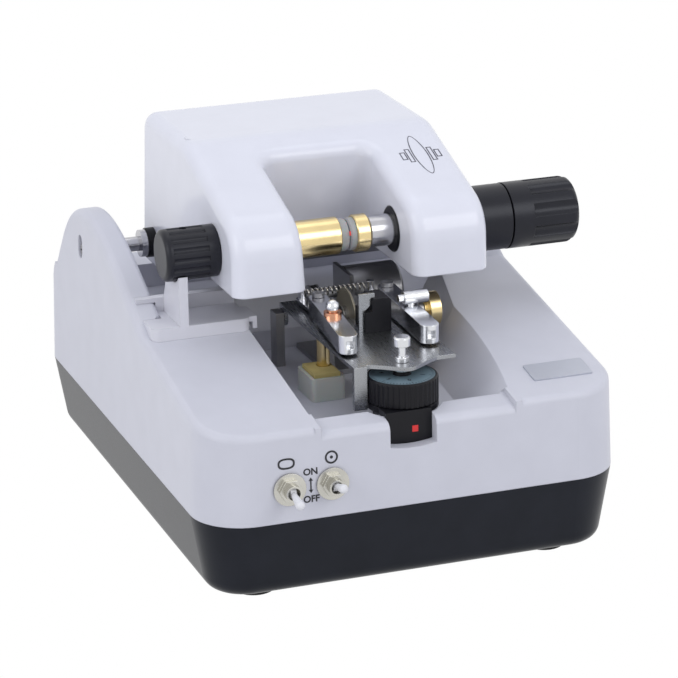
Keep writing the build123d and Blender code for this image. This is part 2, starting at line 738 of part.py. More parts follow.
# Stage: a steel plate hinged at the rear, whose front lip the depth dial lifts.
stage_under = stage_top - stage_thick
stage_left = -19.0
stage_right = 21.5
stage_front = dial_y + 0.5
stage_rear = -11.5
pivot_y = -14.5
pivot_z = 76.5
pin_r = 1.5
stem_r = 1.5
stage_spots = ((-10.7, -34.0), (18.2, -31.6))
with BuildPart() as stage_plate:
    with BuildSketch(Plane.XY.offset(stage_under)):
        with BuildLine():
            Polyline((stage_left, stage_rear), (-9, stage_rear), (-9, -41), (13, -41), (13, stage_rear),
                     (stage_right, stage_rear), (stage_right, stage_front), (14, stage_front))
            Spline((14, stage_front), (0, stage_front - 8), (-12.4, stage_front),
                   tangents=((-1, -0.5), (-1, 0.5)))
            Polyline((-12.4, stage_front), (stage_left, stage_front), (stage_left, stage_rear))
        make_face()
        with Locations((0, dial_y)):
            Circle(stem_r + 0.5, mode=Mode.SUBTRACT)
        with Locations(*stage_spots):
            Circle(1.25, mode=Mode.SUBTRACT)
    extrude(amount=stage_thick)
    add(block(stage_left, -13.9, stage_front - 1.5, stage_front + 0.5, tub_floor + 7.5, stage_top))
    for x in (stage_left, stage_right - 1.5):
        with BuildSketch(Plane.YZ.offset(x)):
            with Locations((pivot_y, pivot_z)):
                Circle(3)
            with Locations((pivot_y, (pivot_z + stage_top) / 2)):
                Rectangle(6, stage_top - pivot_z)
            with Locations((pivot_y, pivot_z)):
                Circle(pin_r + running, mode=Mode.SUBTRACT)
        extrude(amount=1.5)
save(stage_plate.part, "stage_plate")

with BuildPart() as stage_pivots:
    for edge, side, foot in ((stage_left, -1, 0), (stage_right, 1, bracket_thick)):
        near, far = edge + side * gap, edge + side * (gap + 3.4)
        add(block(min(near, far), max(near, far), pivot_y - 3.5, pivot_y + 3.5, tub_floor + foot, pivot_z + 3))
        add(rod(edge - side * 1.8, near, pivot_y, pivot_z, pin_r))
save(stage_pivots.part, "stage_pivots")

standoff_r = 2.5
standoff_y = -50.3
left_standoff_x = -14.8
with BuildPart() as plate_standoffs:
    for x in (left_standoff_x, 17.0):
        add(post(x, standoff_y, tub_floor, stage_under, standoff_r))
save(plate_standoffs.part, "plate_standoffs")

# Water box with its sponge: both have a hole for the left standoff.
box_top = 67.0
box_wall = 1.3
box_left, box_right, box_front, box_back = -23.5, -10.2, -62.5, -44.5
with BuildPart() as water_box:
    add(block(box_left, box_right, box_front, box_back, tub_floor, box_top))
    fillet(water_box.edges().filter_by(Axis.Z), 1.5)
    add(block(box_left + box_wall, box_right - box_wall, box_front + box_wall, box_back - box_wall,
              tub_floor + box_wall, box_top + 1), mode=Mode.SUBTRACT)
    add(post(left_standoff_x, standoff_y, tub_floor - 1, box_top, standoff_r + gap), mode=Mode.SUBTRACT)
save(water_box.part, "water_box")

with BuildPart() as sponge:
    add(block(box_left + box_wall + gap, box_right - box_wall - gap, box_front + box_wall + gap,
              box_back - box_wall - gap, tub_floor + box_wall, box_top + 1.3))
    add(post(left_standoff_x, standoff_y, tub_floor, box_top + 2, standoff_r + gap), mode=Mode.SUBTRACT)
save(sponge.part, "sponge")

# Black slide block on the stage, with a flat steel lens rest against its left side.
block_left = -1.2
block_front = -60.0
block_back = -49.0
with BuildPart() as slide_block:
    with BuildSketch(Plane.XZ.offset(-block_back)):
        with BuildLine():
            Polyline((block_left, stage_top), (block_left, stage_top + 8), (1.7, stage_top + 8),
                     (1.7, stage_top + 13), (9.3, stage_top + 13), (9.3, stage_top), close=True)
        make_face()
    extrude(amount=block_back - block_front)
    chamfer(slide_block.edges().filter_by(Axis.Y).group_by(Axis.Z)[-1], 0.8)
save(slide_block.part, "slide_block")

with BuildPart() as lens_rest:
    with BuildSketch(Plane.XZ.offset(57.4)):
        with BuildLine():
            Polyline((block_left - 2, stage_top), (block_left - 2, 97), (3.2, 97), (3.2, 95.1),
                     (1.6, 95.1), (1.6, 92.5), (block_left, stage_top + 8), (block_left, stage_top), close=True)
        make_face()
    extrude(amount=1.2)
    add(block(block_left - 2, block_left, -57.4, -53, stage_top, stage_top + 1.5))
save(lens_rest.part, "lens_rest")

# Two guide arms on the stage that grip the edge of the lens, pushed together by a spring.
arm_z = 83.0
arm_thick = 7.0
arm_top = arm_z + arm_thick
spring_y = -17.0
spring_z = 86.3


def guide_arm(pivot, tail, width, end_x, end_y):
    """A flat chrome arm with round ends, on a pivot screw, with a post for the spring."""
    with BuildPart() as arm:
        with BuildSketch(Plane.XY.offset(arm_z)):
            with Locations((end_x, end_y), pivot):
                Circle(width / 2)
            make_hull()
        extrude(amount=arm_thick)
        with BuildSketch(Plane.XY.offset(arm_z)):
            with Locations(pivot, tail):
                Circle(2.4)
            make_hull()
        extrude(amount=1.3)
        with BuildSketch(Plane.XY.offset(arm_z)):
            with Locations(tail):
                Circle(1.6)
        extrude(amount=5.2)
        with BuildSketch(Plane.XY.offset(stage_top)):
            with Locations(pivot):
                Circle(2.6)
        extrude(amount=1)
        with BuildSketch(Plane.XY.offset(stage_top)):
            with Locations(pivot):
                Circle(1.25 + running)
        extrude(amount=arm_thick + 2, mode=Mode.SUBTRACT)
    return arm.part


left_pivot, right_pivot = stage_spots
left_tail = (-11.5, spring_y)
right_tail = (16.6, spring_y)
ball_spot = (-13.3, -57.6)
roller_y = -56.6
roller_z = arm_top + 2.9
with BuildPart() as left_arm:
    add(guide_arm(left_pivot, left_tail, 7.4, -15.6, -80.4))
    add(block(-17.3, -14.3, -86, -81.6, arm_z + 2, arm_z + 5), mode=Mode.SUBTRACT)
    add(post(*ball_spot, arm_top, arm_top + 1.6, 1.2))
save(left_arm.part, "left_arm")

with BuildPart() as right_arm:
    add(guide_arm(right_pivot, right_tail, 7.4, 16.6, -80.2))
    add(block(14.9, 17.9, -86, -81.4, arm_z + 2, arm_z + 5), mode=Mode.SUBTRACT)
    add(post(18.3, roller_y, arm_top, roller_z, 1.6))
    add(rod(15.4, 25, roller_y, roller_z, 2.5))
    add(rod(13.2, 15.4, roller_y, roller_z, 1.5))
save(right_arm.part, "right_arm")

with BuildPart() as guide_ball:
    with Locations((*ball_spot, arm_top + 3.4)):
        Sphere(2.7)
    add(post(*ball_spot, arm_top, arm_top + 1.6, 1.2), mode=Mode.SUBTRACT)
save(guide_ball.part, "guide_ball")

with BuildPart() as guide_ring:
    add(post(*ball_spot, arm_top, arm_top + 1.5, 3.4, 1.2))
    with Locations((*ball_spot, arm_top + 3.4)):
        Sphere(2.7, mode=Mode.SUBTRACT)
save(guide_ring.part, "guide_ring")

with BuildPart() as stage_screws:
    for x, y in stage_spots:
        add(post(x, y, stage_under - 1, arm_top + 0.1, 1.25))
        add(post(x, y, arm_top + 0.1, arm_top + 1.7, 2.4))
        with BuildSketch(Plane.XY.offset(arm_top + 1.7)):
            with Locations((x, y)):
                Rectangle(4, 0.7)
        extrude(amount=-0.7, mode=Mode.SUBTRACT)
save(stage_screws.part, "stage_screws")

spring_left = left_tail[0] + 1.6
spring_right = right_tail[0] - 1.6
spring_wire = 0.35
with BuildPart() as arm_spring:
    with BuildLine():
        coil = Helix(pitch=1.9, height=spring_right - spring_left - 0.8, radius=1.35,
                     center=(spring_left + 0.4, spring_y, spring_z), direction=(1, 0, 0))
    with BuildSketch(Plane(origin=coil @ 0, z_dir=coil % 0)):
        Circle(spring_wire)
    sweep(path=coil, is_frenet=True)
save(arm_spring.part, "arm_spring")

# Brass knob on the right of the stage, with its shaft in a post on the tub floor.
position_x = 26.0
position_y = -43.0
position_z = 82.8
post_thick = 2.0
with BuildPart() as position_knob:
    add(rod(position_x + 3.6, position_x + 8, position_y, position_z, 6.6))
    add(rod(position_x + post_thick + gap, position_x + 3.6, position_y, position_z, 3.4))
    add(rod(position_x, position_x + post_thick + gap, position_y, position_z, pin_r))
save(position_knob.part, "position_knob")

with BuildPart() as position_post:
    add(block(position_x, position_x + post_thick, position_y - 3.2, position_y + 3.2, tub_floor, position_z))
    add(rod(position_x, position_x + post_thick, position_y, position_z, 3.2))
    add(rod(position_x - 1, position_x + post_thick + 1, position_y, position_z, pin_r + running),
        mode=Mode.SUBTRACT)
save(position_post.part, "position_post")

# Depth dial with its index block, lead screw and lifting flanges.
with BuildPart() as index_block:
    with BuildSketch(Plane.XZ.offset(-dial_y)):
        add(index_outline(0, index_top))
    extrude(amount=14)
    add(post(0, dial_y, well_floor + gap, index_top, dial_r))
    add(block(-7, 6, dial_y, dial_y + 6.5, tub_floor, well_floor + gap))
    add(post(0, dial_y, 54, index_top + 2, stem_r + running), mode=Mode.SUBTRACT)
save(index_block.part, "index_block")

with BuildPart() as depth_dial:
    add(post(0, dial_y, dial_bottom, dial_top, dial_r))
    chamfer(depth_dial.faces().sort_by(Axis.Z)[-1].edges(), 0.6)
    with BuildSketch(Plane.XY.offset(dial_bottom)):
        with Locations((0, dial_y)):
            with PolarLocations(dial_r + 0.45, 40):
                Circle(0.75)
    extrude(amount=dial_top - dial_bottom, mode=Mode.SUBTRACT)
    add(post(0, dial_y, dial_top, dial_top + 1.2, 3.25))
    add(post(0, dial_y, 67, 79, stem_r + running), mode=Mode.SUBTRACT)
save(depth_dial.part, "depth_dial")

with BuildPart() as depth_screw:
    add(post(0, dial_y, tub_floor + 0.3, 91.7, stem_r))
    add(post(0, dial_y, 78.8, stage_under - 0.1, 3.2))
    add(post(0, dial_y, stage_top + 0.1, 84, 2.6))
    add(post(0, dial_y, 88.2, 91.7, 3.2))
    chamfer(depth_screw.faces().sort_by(Axis.Z)[-1].edges(), 0.5)
save(depth_screw.part, "depth_screw")

# Toggle switches on the front face.
wall_y = front_y(toggle_z)
with BuildPart() as toggle_bodies:
    for _, x, _ in toggles:
        add(block(x - 6, x + 6, toggle_face_y, toggle_face_y + 12.7, toggle_z - 6.5, toggle_z + 6.5))
        with BuildSketch(Plane.XZ.offset(-toggle_face_y)):
            with Locations((x, toggle_z)):
                Circle(3.0)
        extrude(amount=8.7)
        with BuildSketch(Plane.XZ.offset(-toggle_face_y + 0.8)):
            with Locations((x, toggle_z)):
                Circle(2.3)
        extrude(amount=10, mode=Mode.SUBTRACT)
        with BuildSketch(Plane.XZ.offset(-toggle_face_y - 18.7)):
            with Locations((x, toggle_z)):
                with GridLocations(0, 4.4, 1, 2):
                    Rectangle(2, 0.8)
        extrude(amount=6)
save(toggle_bodies.part, "toggle_bodies")

with BuildPart() as toggle_nuts:
    for _, x, _ in toggles:
        with BuildSketch(Plane.XZ.offset(-wall_y + 0.25)):
            with Locations((x, toggle_z)):
                Circle(6.15)
                Circle(3.0, mode=Mode.SUBTRACT)
        extrude(amount=0.8)
        with BuildSketch(Plane.XZ.offset(-wall_y + 1.05)):
            with Locations((x, toggle_z)):
                RegularPolygon(4.5, 6)
                Circle(3.0, mode=Mode.SUBTRACT)
        extrude(amount=2)
save(toggle_nuts.part, "toggle_nuts")

for name, x, tilt in toggles:
    lever_plane = Plane(origin=(x, toggle_pivot_y, toggle_z), x_dir=(1, 0, 0),
                        z_dir=(0, -cos(radians(tilt)), sin(radians(tilt))))
    with BuildPart() as lever:
        with BuildSketch(lever_plane.offset(1)):
            Circle(1.0)
        with BuildSketch(lever_plane.offset(toggle_reach)):
            Circle(toggle_tip_r)
        loft()
        with Locations(lever_plane.offset(toggle_reach)):
            Sphere(toggle_tip_r)
        add(rod(x - 1.1, x + 1.1, toggle_pivot_y, toggle_z, 2.0))
    save(lever.part, name)

# Bare plate on the right of the deck.
with BuildPart() as label_plate:
    with BuildSketch(Plane(origin=(case_width / 2 - 20.5, dial_y, deck_z(dial_y)), x_dir=(1, 0, 0),
                           z_dir=(0, -sin(radians(deck_angle)), cos(radians(deck_angle))))):
        RectangleRounded(23.5, 12, 0.8)
    extrude(amount=0.6)
save(label_plate.part, "label_plate")

# Transformer, circuit board and cord gland inside the case.
with BuildPart() as transformer:
    add(block(-70, -6, 34, 76, foot_height + 8, foot_height + 10))
    add(block(-58, -18, 37, 73, foot_height + 10, 48))
    add(block(-53, -23, 42, 68, foot_height + 10, 55))
save(transformer.part, "transformer")

with BuildPart() as circuit_board:
    add(block(20, 70, -52, 52, foot_height + 8, foot_height + 9.6))
    add(block(28, 44, -40, -24, foot_height + 9.6, 24))
    add(block(50, 66, -10, 20, foot_height + 9.6, 30))
    add(post(36, 24, foot_height + 9.6, 34, 6))
save(circuit_board.part, "circuit_board")

with BuildPart() as power_gland:
    with BuildSketch(Plane.XZ.offset(5 - rear)):
        with Locations((gland_x, gland_z)):
            Circle(5.0)
            Circle(3.2, mode=Mode.SUBTRACT)
    extrude(amount=rear - gland_y - 5)
    with BuildSketch(Plane.XZ.offset(-rear)):
        with Locations((gland_x, gland_z)):
            Circle(7.5)
            Circle(3.2, mode=Mode.SUBTRACT)
    extrude(amount=-2.5)
    with BuildSketch(Plane.XZ.offset(3.2 - rear)):
        with Locations((gland_x, gland_z)):
            Circle(6.4)
            Circle(3.2, mode=Mode.SUBTRACT)
    extrude(amount=1.8)
save(power_gland.part, "power_gland")
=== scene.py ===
# %% [markdown]
# # Lens groover
# This bench machine cuts a fine groove round the edge of a spectacle lens. It could be modelled in
# Blender alone, but exact sizes are easier to keep in CAD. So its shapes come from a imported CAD
# part, which is called the frame here, and the frame's pieces keep their shape and place. This
# script gives them materials, light and a camera, and adds the few details that are too fine for
# the CAD. Blender works in metres. The numbers read off the machine are millimetres.

# %% Frame
import json
import math

import bpy
import numpy as np
from mathutils import Matrix, Vector


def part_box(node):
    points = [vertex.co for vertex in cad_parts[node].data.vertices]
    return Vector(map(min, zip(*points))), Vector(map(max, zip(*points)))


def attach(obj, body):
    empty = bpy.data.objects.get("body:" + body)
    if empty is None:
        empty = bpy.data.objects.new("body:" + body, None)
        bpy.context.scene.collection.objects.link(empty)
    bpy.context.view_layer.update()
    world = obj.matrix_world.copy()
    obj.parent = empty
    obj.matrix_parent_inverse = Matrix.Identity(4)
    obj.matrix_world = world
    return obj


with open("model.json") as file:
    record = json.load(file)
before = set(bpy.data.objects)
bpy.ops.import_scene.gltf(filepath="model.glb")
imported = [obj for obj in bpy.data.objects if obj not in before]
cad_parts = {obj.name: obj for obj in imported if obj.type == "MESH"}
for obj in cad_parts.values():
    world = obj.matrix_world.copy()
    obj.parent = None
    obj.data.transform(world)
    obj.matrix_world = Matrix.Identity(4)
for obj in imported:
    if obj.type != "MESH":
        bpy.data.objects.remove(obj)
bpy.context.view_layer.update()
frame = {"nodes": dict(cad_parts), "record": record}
nodes = frame["nodes"]
pan_low, pan_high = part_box("base_pan")
MID_X = (pan_low.x + pan_high.x) / 2
MID_Y = (pan_low.y + pan_high.y) / 2


def at(x, y, z):
    """A point given in millimetres from the middle of the case, at bench level."""
    return Vector((MID_X + x / 1000, MID_Y + y / 1000, z / 1000))


print("case middle", round(MID_X, 5), round(MID_Y, 5), "nodes", len(nodes))

# %% [markdown]
# ## Camera
# The machine is seen from its front, a little from its left, through a long lens. The place could
# be found by eye, but a measured one lets every edge be compared with the photograph. It was worked
# out from the straight edges of the case and the ellipses of the round pieces. The three angles are
# turned into a matrix by hand, so that the roll is about the line of sight.

# %% Camera
YAW, PITCH, ROLL = (math.radians(a) for a in (19.38, 18.56, -1.0))
CAMERA_PLACE = (-381.0, -1109.6, 454.7)
forward = Vector((math.sin(YAW) * math.cos(PITCH), math.cos(YAW) * math.cos(PITCH), -math.sin(PITCH)))
level = Vector((math.cos(YAW), -math.sin(YAW), 0))
upward = level.cross(forward)
right = math.cos(ROLL) * level + math.sin(ROLL) * upward
up = -math.sin(ROLL) * level + math.cos(ROLL) * upward

camera_data = bpy.data.cameras.new("camera")
camera_data.lens = 166.05
camera_data.sensor_width = 36
camera = bpy.data.objects.new("camera", camera_data)
bpy.context.scene.collection.objects.link(camera)
turn = Matrix((right, up, -forward)).transposed().to_4x4()
camera.matrix_world = Matrix.Translation(at(*CAMERA_PLACE)) @ turn
bpy.context.scene.camera = camera
bpy.context.scene.view_settings.view_transform = "Standard"
print("camera", [round(v, 3) for v in camera.location])

# %% [markdown]
# ## What the camera sees
# Product photographs have a pure white background, but a room that white would flood the machine
# with light. Two pictures could be laid over each other. Here one shader is shown to some rays and
# another to the rest, which needs only one picture. The rays that see white are those of the
# camera, and those that a shiny or clear surface passes on, because brass and steel mirror a white
# room. The Light Path node tells them from the rays that only carry light.

# %% What the camera sees
def add_node(tree, kind, **values):
    """A new shader node with some inputs set, where To_Min stands for the input To Min."""
    made = tree.nodes.new("ShaderNode" + kind)
    for name, value in values.items():
        made.inputs[name.replace("_", " ")].default_value = value
    return made


def seen_ray(tree):
    """Is 1 for what the camera sees, directly or through glass or in a shiny surface."""
    path = add_node(tree, "LightPath")
    seen = path.outputs["Is Camera Ray"]
    for kind in ("Is Glossy Ray", "Is Transmission Ray"):
        most = add_node(tree, "Math")
        most.operation = "MAXIMUM"
        tree.links.new(seen, most.inputs[0])
        tree.links.new(path.outputs[kind], most.inputs[1])
        seen = most.outputs[0]
    return seen


def show(tree, seen, unseen, output):
    """Sends one shader to an output for the rays that are seen, and another for the others."""
    mix = add_node(tree, "MixShader")
    tree.links.new(seen_ray(tree), mix.inputs[0])
    tree.links.new(unseen.outputs[0], mix.inputs[1])
    tree.links.new(seen.outputs[0], mix.inputs[2])
    tree.links.new(mix.outputs[0], output)


print("white for camera, glossy and transmission rays")

# %% [markdown]
# ## Room
# The machine stands in a pale studio. A photographed sky could light it, but a plain gradient is
# enough: greyish up to the level of the bench and bluer overhead. Its ramp runs on half the height
# of the direction plus a half, which is 0 straight down, 0.5 at the horizon and 1 straight up.

# %% Room
def sky_gradient(tree):
    """The colour of the room by the height of the direction, which is a number from -1 to 1."""
    direction = add_node(tree, "TexCoord")
    split = add_node(tree, "SeparateXYZ")
    height = add_node(tree, "Math")
    height.operation = "MULTIPLY_ADD"
    height.inputs[1].default_value = 0.5
    height.inputs[2].default_value = 0.5
    ramp = add_node(tree, "ValToRGB")
    stops = ((0.45, (0.84, 0.84, 0.86, 1)), (0.95, (0.86, 0.89, 1.0, 1)))
    for stop, (position, color) in zip(ramp.color_ramp.elements, stops):
        stop.position = position
        stop.color = color
    tree.links.new(direction.outputs["Generated"], split.inputs[0])
    tree.links.new(split.outputs["Z"], height.inputs[0])
    tree.links.new(height.outputs[0], ramp.inputs[0])
    return ramp.outputs["Color"]


world = bpy.data.worlds.new("room")
bpy.context.scene.world = world
world.use_nodes = True
world_tree = world.node_tree
world_tree.nodes.clear()
room = add_node(world_tree, "Background", Strength=0.75)
world_tree.links.new(sky_gradient(world_tree), room.inputs["Color"])
white = add_node(world_tree, "Background", Color=(1, 1, 1, 1), Strength=1.0)
show(world_tree, white, room, add_node(world_tree, "OutputWorld").inputs["Surface"])
print("world", world.name, "nodes", len(world_tree.nodes))

# %% [markdown]
# ## Lamps
# A room alone would leave the edges flat. The bright bands along the brass and the chrome show a
# broad soft light at the left and one at the front right, and a faint one from above sets off the
# tops. Area lamps give such soft bands, where a point or a sun would give hard spots.

# %% Lamps
def area_light(name, place, target, size, power):
    """A soft rectangular lamp turned to a target, its size in metres and its power in watts."""
    data = bpy.data.lights.new(name, "AREA")
    data.shape = "RECTANGLE"
    data.size, data.size_y = size
    data.energy = power
    lamp = bpy.data.objects.new(name, data)
    bpy.context.scene.collection.objects.link(lamp)
    lamp.location = place
    lamp.rotation_euler = (target - place).to_track_quat("-Z", "Y").to_euler()


area_light("left", at(-1050, -300, 560), at(0, 0, 60), (0.7, 0.7), 3.0)
area_light("front_right", at(500, -900, 700), at(0, 0, 80), (0.6, 0.6), 3.0)
area_light("top", at(0, 250, 1200), at(0, 0, 60), (0.8, 0.5), 1.0)
print("lights", len(bpy.data.lights))

# %% [markdown]
# ## Floor
# The machine stands on white without an edge. A plain white sheet would need far more light to look
# as white as the background. So the floor glows white for the rays that are seen, and is matt for
# all others, which keeps the light that it throws back under the machine.

# %% Floor
FLOOR_HALF = 3

floor_look = bpy.data.materials.new("floor_white")
floor_look.use_nodes = True
floor_tree = floor_look.node_tree
floor_tree.nodes.clear()
matt = add_node(floor_tree, "BsdfDiffuse", Color=(0.75, 0.75, 0.76, 1))
glow = add_node(floor_tree, "Emission", Color=(1, 1, 1, 1))
show(floor_tree, glow, matt, add_node(floor_tree, "OutputMaterial").inputs["Surface"])

corners = [(x * FLOOR_HALF, y * FLOOR_HALF, 0) for x, y in ((-1, -1), (1, -1), (1, 1), (-1, 1))]
floor_mesh = bpy.data.meshes.new("floor")
floor_mesh.from_pydata(corners, [], [(0, 1, 2, 3)])
floor_mesh.materials.append(floor_look)
floor = bpy.data.objects.new("floor", floor_mesh)
bpy.context.scene.collection.objects.link(floor)
print("floor", 2 * FLOOR_HALF, "m wide")

# %% [markdown]
# ## How a finish is made
# No real surface has one flat colour. Each finish here starts from a colour, a roughness and how
# metallic it is. Fine noise then raises a grain and changes the gloss from place to place, and
# wide noise shades the colour slowly across the piece. Image textures could do this too, but noise
# in the object's own coordinates has no seams and stays with a piece when it moves. The Bevel node
# softens the light on sharp CAD edges without changing the mesh. Grain sizes are millimetres.

# %% How a finish is made
BUMP_HEIGHT = 0.0002
WIDE_SIZE = 14
COAT_ROUGHNESS = 0.08
LIGHT_DEPTH = 0.004
EDGE_SAMPLES = 6
looks = {}


def noise_node(tree, coord, size, stretch):
    """Noise with features of about the given size, drawn out along an axis where stretch is small."""
    mapping = add_node(tree, "Mapping", Scale=stretch)
    noise = add_node(tree, "TexNoise", Scale=1000 / size, Detail=3)
    tree.links.new(coord.outputs["Object"], mapping.inputs[0])
    tree.links.new(mapping.outputs[0], noise.inputs["Vector"])
    return noise.outputs["Fac"]


def surface(name, color, roughness, metallic=0.0, coat=0.0, grain=0.04, size=0.7, stretch=(1, 1, 1),
            vary=0.04, tone=0.04, specular=0.5, tint=(1, 1, 1), round_edges=0.0, subsurface=0.0):
    """Adds a finish. Its roughness runs from roughness - vary to roughness + vary, and its colour
    from color * (1 - tone) to color * (1 + tone)."""
    material = bpy.data.materials.new(name)
    material.use_nodes = True
    tree = material.node_tree
    bsdf = tree.nodes["Principled BSDF"]
    bsdf.inputs["Metallic"].default_value = metallic
    bsdf.inputs["Coat Weight"].default_value = coat
    bsdf.inputs["Coat Roughness"].default_value = COAT_ROUGHNESS
    bsdf.inputs["Specular IOR Level"].default_value = specular
    bsdf.inputs["Specular Tint"].default_value = (*tint, 1)
    bsdf.inputs["Subsurface Weight"].default_value = subsurface
    bsdf.inputs["Subsurface Scale"].default_value = LIGHT_DEPTH
    coord = add_node(tree, "TexCoord")
    fine = noise_node(tree, coord, size, stretch)
    wide = noise_node(tree, coord, WIDE_SIZE, (1, 1, 1))

    bump = add_node(tree, "Bump", Strength=grain, Distance=BUMP_HEIGHT)
    tree.links.new(fine, bump.inputs["Height"])
    if round_edges:
        edge = add_node(tree, "Bevel", Radius=round_edges)
        edge.samples = EDGE_SAMPLES
        tree.links.new(edge.outputs[0], bump.inputs["Normal"])
    tree.links.new(bump.outputs[0], bsdf.inputs["Normal"])

    gloss = add_node(tree, "MapRange", To_Min=max(roughness - vary, 0.02), To_Max=roughness + vary)
    tree.links.new(fine, gloss.inputs["Value"])
    tree.links.new(gloss.outputs[0], bsdf.inputs["Roughness"])

    shade = add_node(tree, "ValToRGB")
    for stop, position, factor in zip(shade.color_ramp.elements, (0.3, 0.7), (1 - tone, 1 + tone)):
        stop.position = position
        stop.color = (*(min(c * factor, 1) for c in color), 1)
    tree.links.new(wide, shade.inputs[0])
    tree.links.new(shade.outputs["Color"], bsdf.inputs["Base Color"])
    looks[name] = material


print("bump height", BUMP_HEIGHT * 1000, "mm, wide noise", WIDE_SIZE, "mm")

# %% [markdown]
# ## Plastics, paint and rubber
# The cover is a moulded bluish white with a fine satin grain, and the head is smoother and glossier
# paint. Knobs, blocks and base are nearly black. The room here is white all round, so they would
# mirror too much of it and look grey. A darker colour could not change that, so their specular
# level is set low instead. The water box and the pads let some light in, which the subsurface
# weight imitates, and the sponge only needs a coarse grain.

# %% Plastics, paint and rubber
surface("cover_plastic", (0.645, 0.65, 0.71), 0.42, coat=0.05, grain=0.1, size=0.5, tone=0.02,
        specular=0.35, round_edges=0.0006)
surface("base_plastic", (0.014, 0.015, 0.021), 0.3, grain=0.12, size=0.5, tone=0.12, specular=0.16,
        tint=(0.88, 0.95, 1.0), round_edges=0.0005)
surface("white_plastic", (0.70, 0.70, 0.75), 0.3, coat=0.2, grain=0.1, size=0.5, tone=0.02,
        round_edges=0.0005)
surface("head_paint", (0.79, 0.80, 0.87), 0.17, coat=0.1, grain=0.05, size=1.2, tone=0.015,
        vary=0.03, specular=0.35, round_edges=0.0008)
surface("black_plastic", (0.008, 0.008, 0.011), 0.36, grain=0.15, size=0.5, tone=0.15,
        specular=0.22, round_edges=0.0003)
surface("knob_black", (0.013, 0.013, 0.018), 0.33, grain=0.08, size=0.5, tone=0.15, specular=0.3,
        tint=(0.9, 0.93, 1.0), round_edges=0.0004)
surface("milky_plastic", (0.60, 0.61, 0.56), 0.35, grain=0.1, tone=0.05, subsurface=0.3,
        round_edges=0.0003)
surface("lever_white", (0.80, 0.80, 0.82), 0.35, tone=0.03)
surface("switch_case", (0.03, 0.06, 0.25), 0.4, tone=0.1)
surface("board_green", (0.02, 0.12, 0.04), 0.4, tone=0.15)
surface("feet_rubber", (0.015, 0.015, 0.015), 0.8, grain=0.3, tone=0.2)
surface("belt_rubber", (0.012, 0.012, 0.012), 0.7, grain=0.3, tone=0.15)
surface("pad_rubber", (0.40, 0.41, 0.41), 0.45, grain=0.15, size=0.4, tone=0.08, subsurface=0.4)
surface("sponge_foam", (0.55, 0.45, 0.18), 0.95, grain=1.0, size=0.7, tone=0.2)
print("plastics, paint and rubber", len(looks))

# %% [markdown]
# ## Metals
# Turned pieces such as the chucks, the spindles and the motor carry fine marks round their axis,
# and the stage plate is brushed from front to rear. The Anisotropic input could blur their
# highlights, but noise drawn out along the marks also shows the marks themselves. The grinding
# wheel is bonded grit, so its grain is the roughest.

# %% Metals
surface("zinc_steel", (0.34, 0.34, 0.36), 0.46, 1.0, vary=0.08, tone=0.1, round_edges=0.0002)
surface("bright_steel", (0.50, 0.50, 0.53), 0.2, 1.0, vary=0.06, size=0.4, stretch=(1, 0.15, 0.15),
        tone=0.06)
surface("black_steel", (0.03, 0.03, 0.03), 0.35, 0.8, tone=0.1)
surface("brass", (0.80, 0.64, 0.34), 0.22, 1.0, vary=0.07, size=0.4, stretch=(1, 0.12, 0.12),
        tone=0.07, round_edges=0.0003)
surface("motor_steel", (0.10, 0.10, 0.11), 0.3, 0.9, tone=0.1, round_edges=0.0003)
surface("motor_grey", (0.36, 0.36, 0.37), 0.32, 0.9, vary=0.06, size=0.5, stretch=(1, 0.2, 0.2),
        tone=0.08, round_edges=0.0003)
surface("aluminium", (0.35, 0.35, 0.36), 0.35, 1.0, grain=0.1, tone=0.08, round_edges=0.0002)
surface("wheel_grit", (0.35, 0.32, 0.25), 0.55, 0.6, grain=0.7, size=0.2, vary=0.15, tone=0.15)
surface("stage_steel", (0.33, 0.34, 0.36), 0.28, 1.0, vary=0.09, size=0.5, stretch=(1, 0.06, 1),
        tone=0.08, round_edges=0.0002)
surface("chrome", (0.72, 0.73, 0.76), 0.18, 1.0, vary=0.05, size=0.5, stretch=(1, 0.15, 1),
        tone=0.04, round_edges=0.0004)
surface("copper", (0.72, 0.36, 0.22), 0.25, 1.0, tone=0.1)
surface("spring_steel", (0.62, 0.60, 0.55), 0.2, 1.0, tone=0.08)
surface("switch_metal", (0.55, 0.54, 0.50), 0.22, 1.0, tone=0.08, round_edges=0.0002)
surface("label_foil", (0.52, 0.54, 0.61), 0.4, 0.4, vary=0.08, size=0.5, stretch=(0.06, 1, 1),
        tone=0.04, round_edges=0.0002)
print("with metals", len(looks))

# %% [markdown]
# ## Print and enamel
# The signs are printed in black or grey, the marks on the index block and the left pad are red, and
# the dial has a blue-grey scale. One texture could carry them all, but here each mark is a small
# piece of its own, so each needs only a plain finish.

# %% Print and enamel
surface("print_black", (0.015, 0.015, 0.02), 0.5, grain=0.1, tone=0.15)
surface("print_grey", (0.10, 0.10, 0.13), 0.5, grain=0.1, tone=0.15)
surface("index_red", (0.75, 0.03, 0.03), 0.4, grain=0.1, tone=0.1)
surface("dial_face", (0.19, 0.28, 0.33), 0.34, 0.2, vary=0.08, size=0.4, tone=0.08)
print("finishes", len(looks))

# %% [markdown]
# ## Painting the frame
# Every CAD piece needs its finish. They could be handed out one by one, but the record already
# names a material slot for each piece, and most slots have a finish of the same name. A few pieces
# look different from the others in their slot, so only those are named here.

